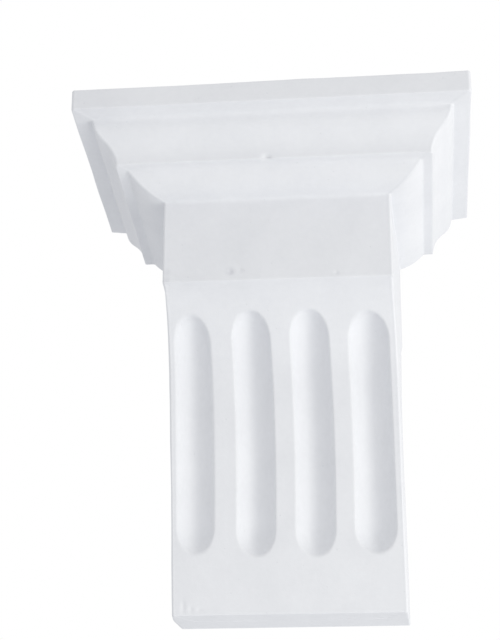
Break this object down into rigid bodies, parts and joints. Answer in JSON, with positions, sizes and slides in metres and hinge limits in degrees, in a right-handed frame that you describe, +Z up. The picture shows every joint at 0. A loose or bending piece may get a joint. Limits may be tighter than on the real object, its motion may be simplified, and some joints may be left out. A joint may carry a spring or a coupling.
{
  "type": "corbel",
  "caption": "Cast plaster wall corbel: a moulded cap with ogee and ovolo over a coved, tapering body with round-ended flutes.",
  "frame": {"origin": "middle of the flat back, in the plane of the wall", "axes": "+X along the wall to the right as seen from the room, +Y into the wall, +Z up"},
  "size_m": [0.2, 0.125, 0.244],
  "materials": {
    "plaster": "matt dry cast plaster, faintly cool white"
  },
  "bodies": {
    "root": {"corbel": "plaster"}
  },
  "joints": []
}
